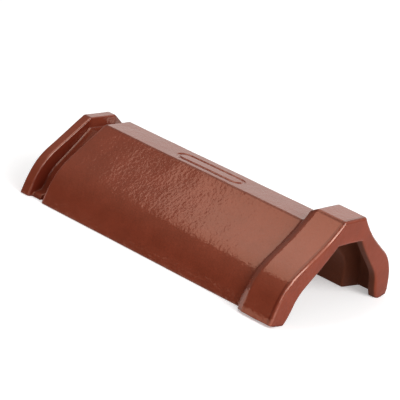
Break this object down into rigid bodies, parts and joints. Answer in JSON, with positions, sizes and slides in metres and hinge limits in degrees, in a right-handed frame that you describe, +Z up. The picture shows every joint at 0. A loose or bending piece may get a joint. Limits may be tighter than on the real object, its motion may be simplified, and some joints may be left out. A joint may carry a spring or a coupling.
{
  "type": "ridge tile",
  "caption": "Angular ridge tile with a flat crown, a raised collar with a socket and inner rib at the front, and a groove and lip at the tail for interlocking along a roof ridge.",
  "frame": {"origin": "middle of the footprint, on the ground that both long feet stand on", "axes": "+Z up, +Y along the length towards the tail with its groove and lip, -Y towards the collar and its opening, +X across the ridge"},
  "size_m": [0.2788, 0.44, 0.1285],
  "materials": {
    "chestnut_glaze": "glossy red-brown coat"
  },
  "bodies": {
    "root": {"ridge_tile": "chestnut_glaze"}
  },
  "joints": []
}
